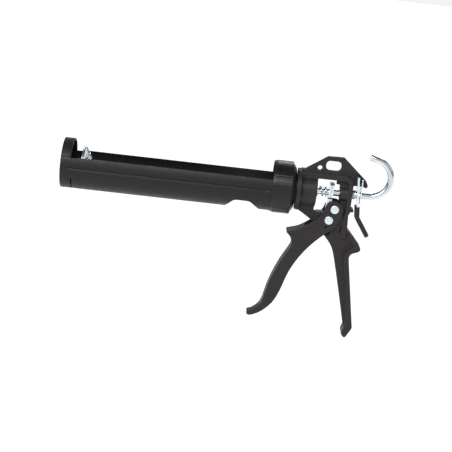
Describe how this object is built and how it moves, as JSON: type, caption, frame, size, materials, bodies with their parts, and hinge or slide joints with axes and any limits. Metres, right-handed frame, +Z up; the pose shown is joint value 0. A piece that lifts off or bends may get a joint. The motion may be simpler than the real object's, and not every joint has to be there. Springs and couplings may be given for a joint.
{
  "type": "caulking gun",
  "caption": "Half-barrel caulking gun with a turning barrel, hooked push rod, cast frame and handle, trigger with gripping plates and a thumb release lever.",
  "frame": {"origin": "middle of the piston's front face, on the push rod's axis, with the rod pushed fully forward", "axes": "+X along the push rod from the nozzle end to the hook, +Z up from the handle to the hanging plate, +Y across towards the right-hand side as the user holds it"},
  "size_m": [0.3462, 0.0548, 0.1988],
  "materials": {
    "cast_black": "charcoal powder coat on cast aluminium",
    "steel_black": "charcoal powder coat on sheet steel",
    "collar_black": "satin",
    "sleeve_black": "matte dipped vinyl",
    "bright_zinc": "bright zinc plate",
    "rivet_zinc": "zinc plate, satin",
    "plain_steel": "plain steel"
  },
  "bodies": {
    "frame": {"frame": "cast_black", "pivot_rivet": "rivet_zinc", "pivot_bush": "plain_steel", "thrust_washer": "steel_black", "retaining_ring": "plain_steel", "spring_washer": "plain_steel", "drive_spring": "plain_steel", "brake_plate": "bright_zinc", "brake_spring": "plain_steel"},
    "barrel": {"barrel_shell": "steel_black", "front_cap": "steel_black", "barrel_collar": "collar_black"},
    "piston": {"piston_plate": "bright_zinc", "piston_backing": "bright_zinc"},
    "rod": {"push_rod": "bright_zinc", "piston_nut": "bright_zinc"},
    "trigger": {"trigger": "cast_black", "drive_rivet": "rivet_zinc"},
    "roller": {"drive_roller": "plain_steel"},
    "drive": {"drive_plate_front": "bright_zinc", "drive_plate_rear": "bright_zinc"},
    "lever": {"release_lever": "bright_zinc", "lever_sleeve": "sleeve_black"}
  },
  "joints": [
    {"name": "barrel_swivel", "type": "hinge", "parent": "frame", "child": "barrel", "pos_m": [0.212, 0, 0], "axis": [1, 0, 0], "continuous": true},
    {"name": "rod_slide", "type": "slide", "parent": "frame", "child": "piston", "axis": [1, 0, 0], "range_m": [-0.006, 0.197]},
    {"name": "rod_turn", "type": "hinge", "parent": "piston", "child": "rod", "pos_m": [0, 0, 0], "axis": [1, 0, 0], "range_deg": [-150, 150]},
    {"name": "trigger_pull", "type": "hinge", "parent": "frame", "child": "trigger", "pos_m": [0.2632, 0, -0.028], "axis": [0, -1, 0], "range_deg": [0, 32], "stiffness_Nm_per_rad": 1, "springref_deg": -22.92},
    {"name": "roller_spin", "type": "hinge", "parent": "trigger", "child": "roller", "pos_m": [0.2679, 0, -0.016], "axis": [0, 1, 0], "continuous": true},
    {"name": "drive_advance", "type": "slide", "parent": "frame", "child": "drive", "axis": [-1, 0, 0], "range_m": [0, 0.0072], "deforming": ["drive_spring"]},
    {"name": "lever_release", "type": "hinge", "parent": "frame", "child": "lever", "pos_m": [0.2888, 0, 0.019], "axis": [0, 1, 0], "range_deg": [0, 2.2], "stiffness_Nm_per_rad": 0.8, "springref_deg": -8.59, "deforming": ["brake_spring"]}
  ],
  "couplings": [
    {"joint": "drive_advance", "follows": "trigger_pull", "m_per_rad": 0.0127}
  ]
}
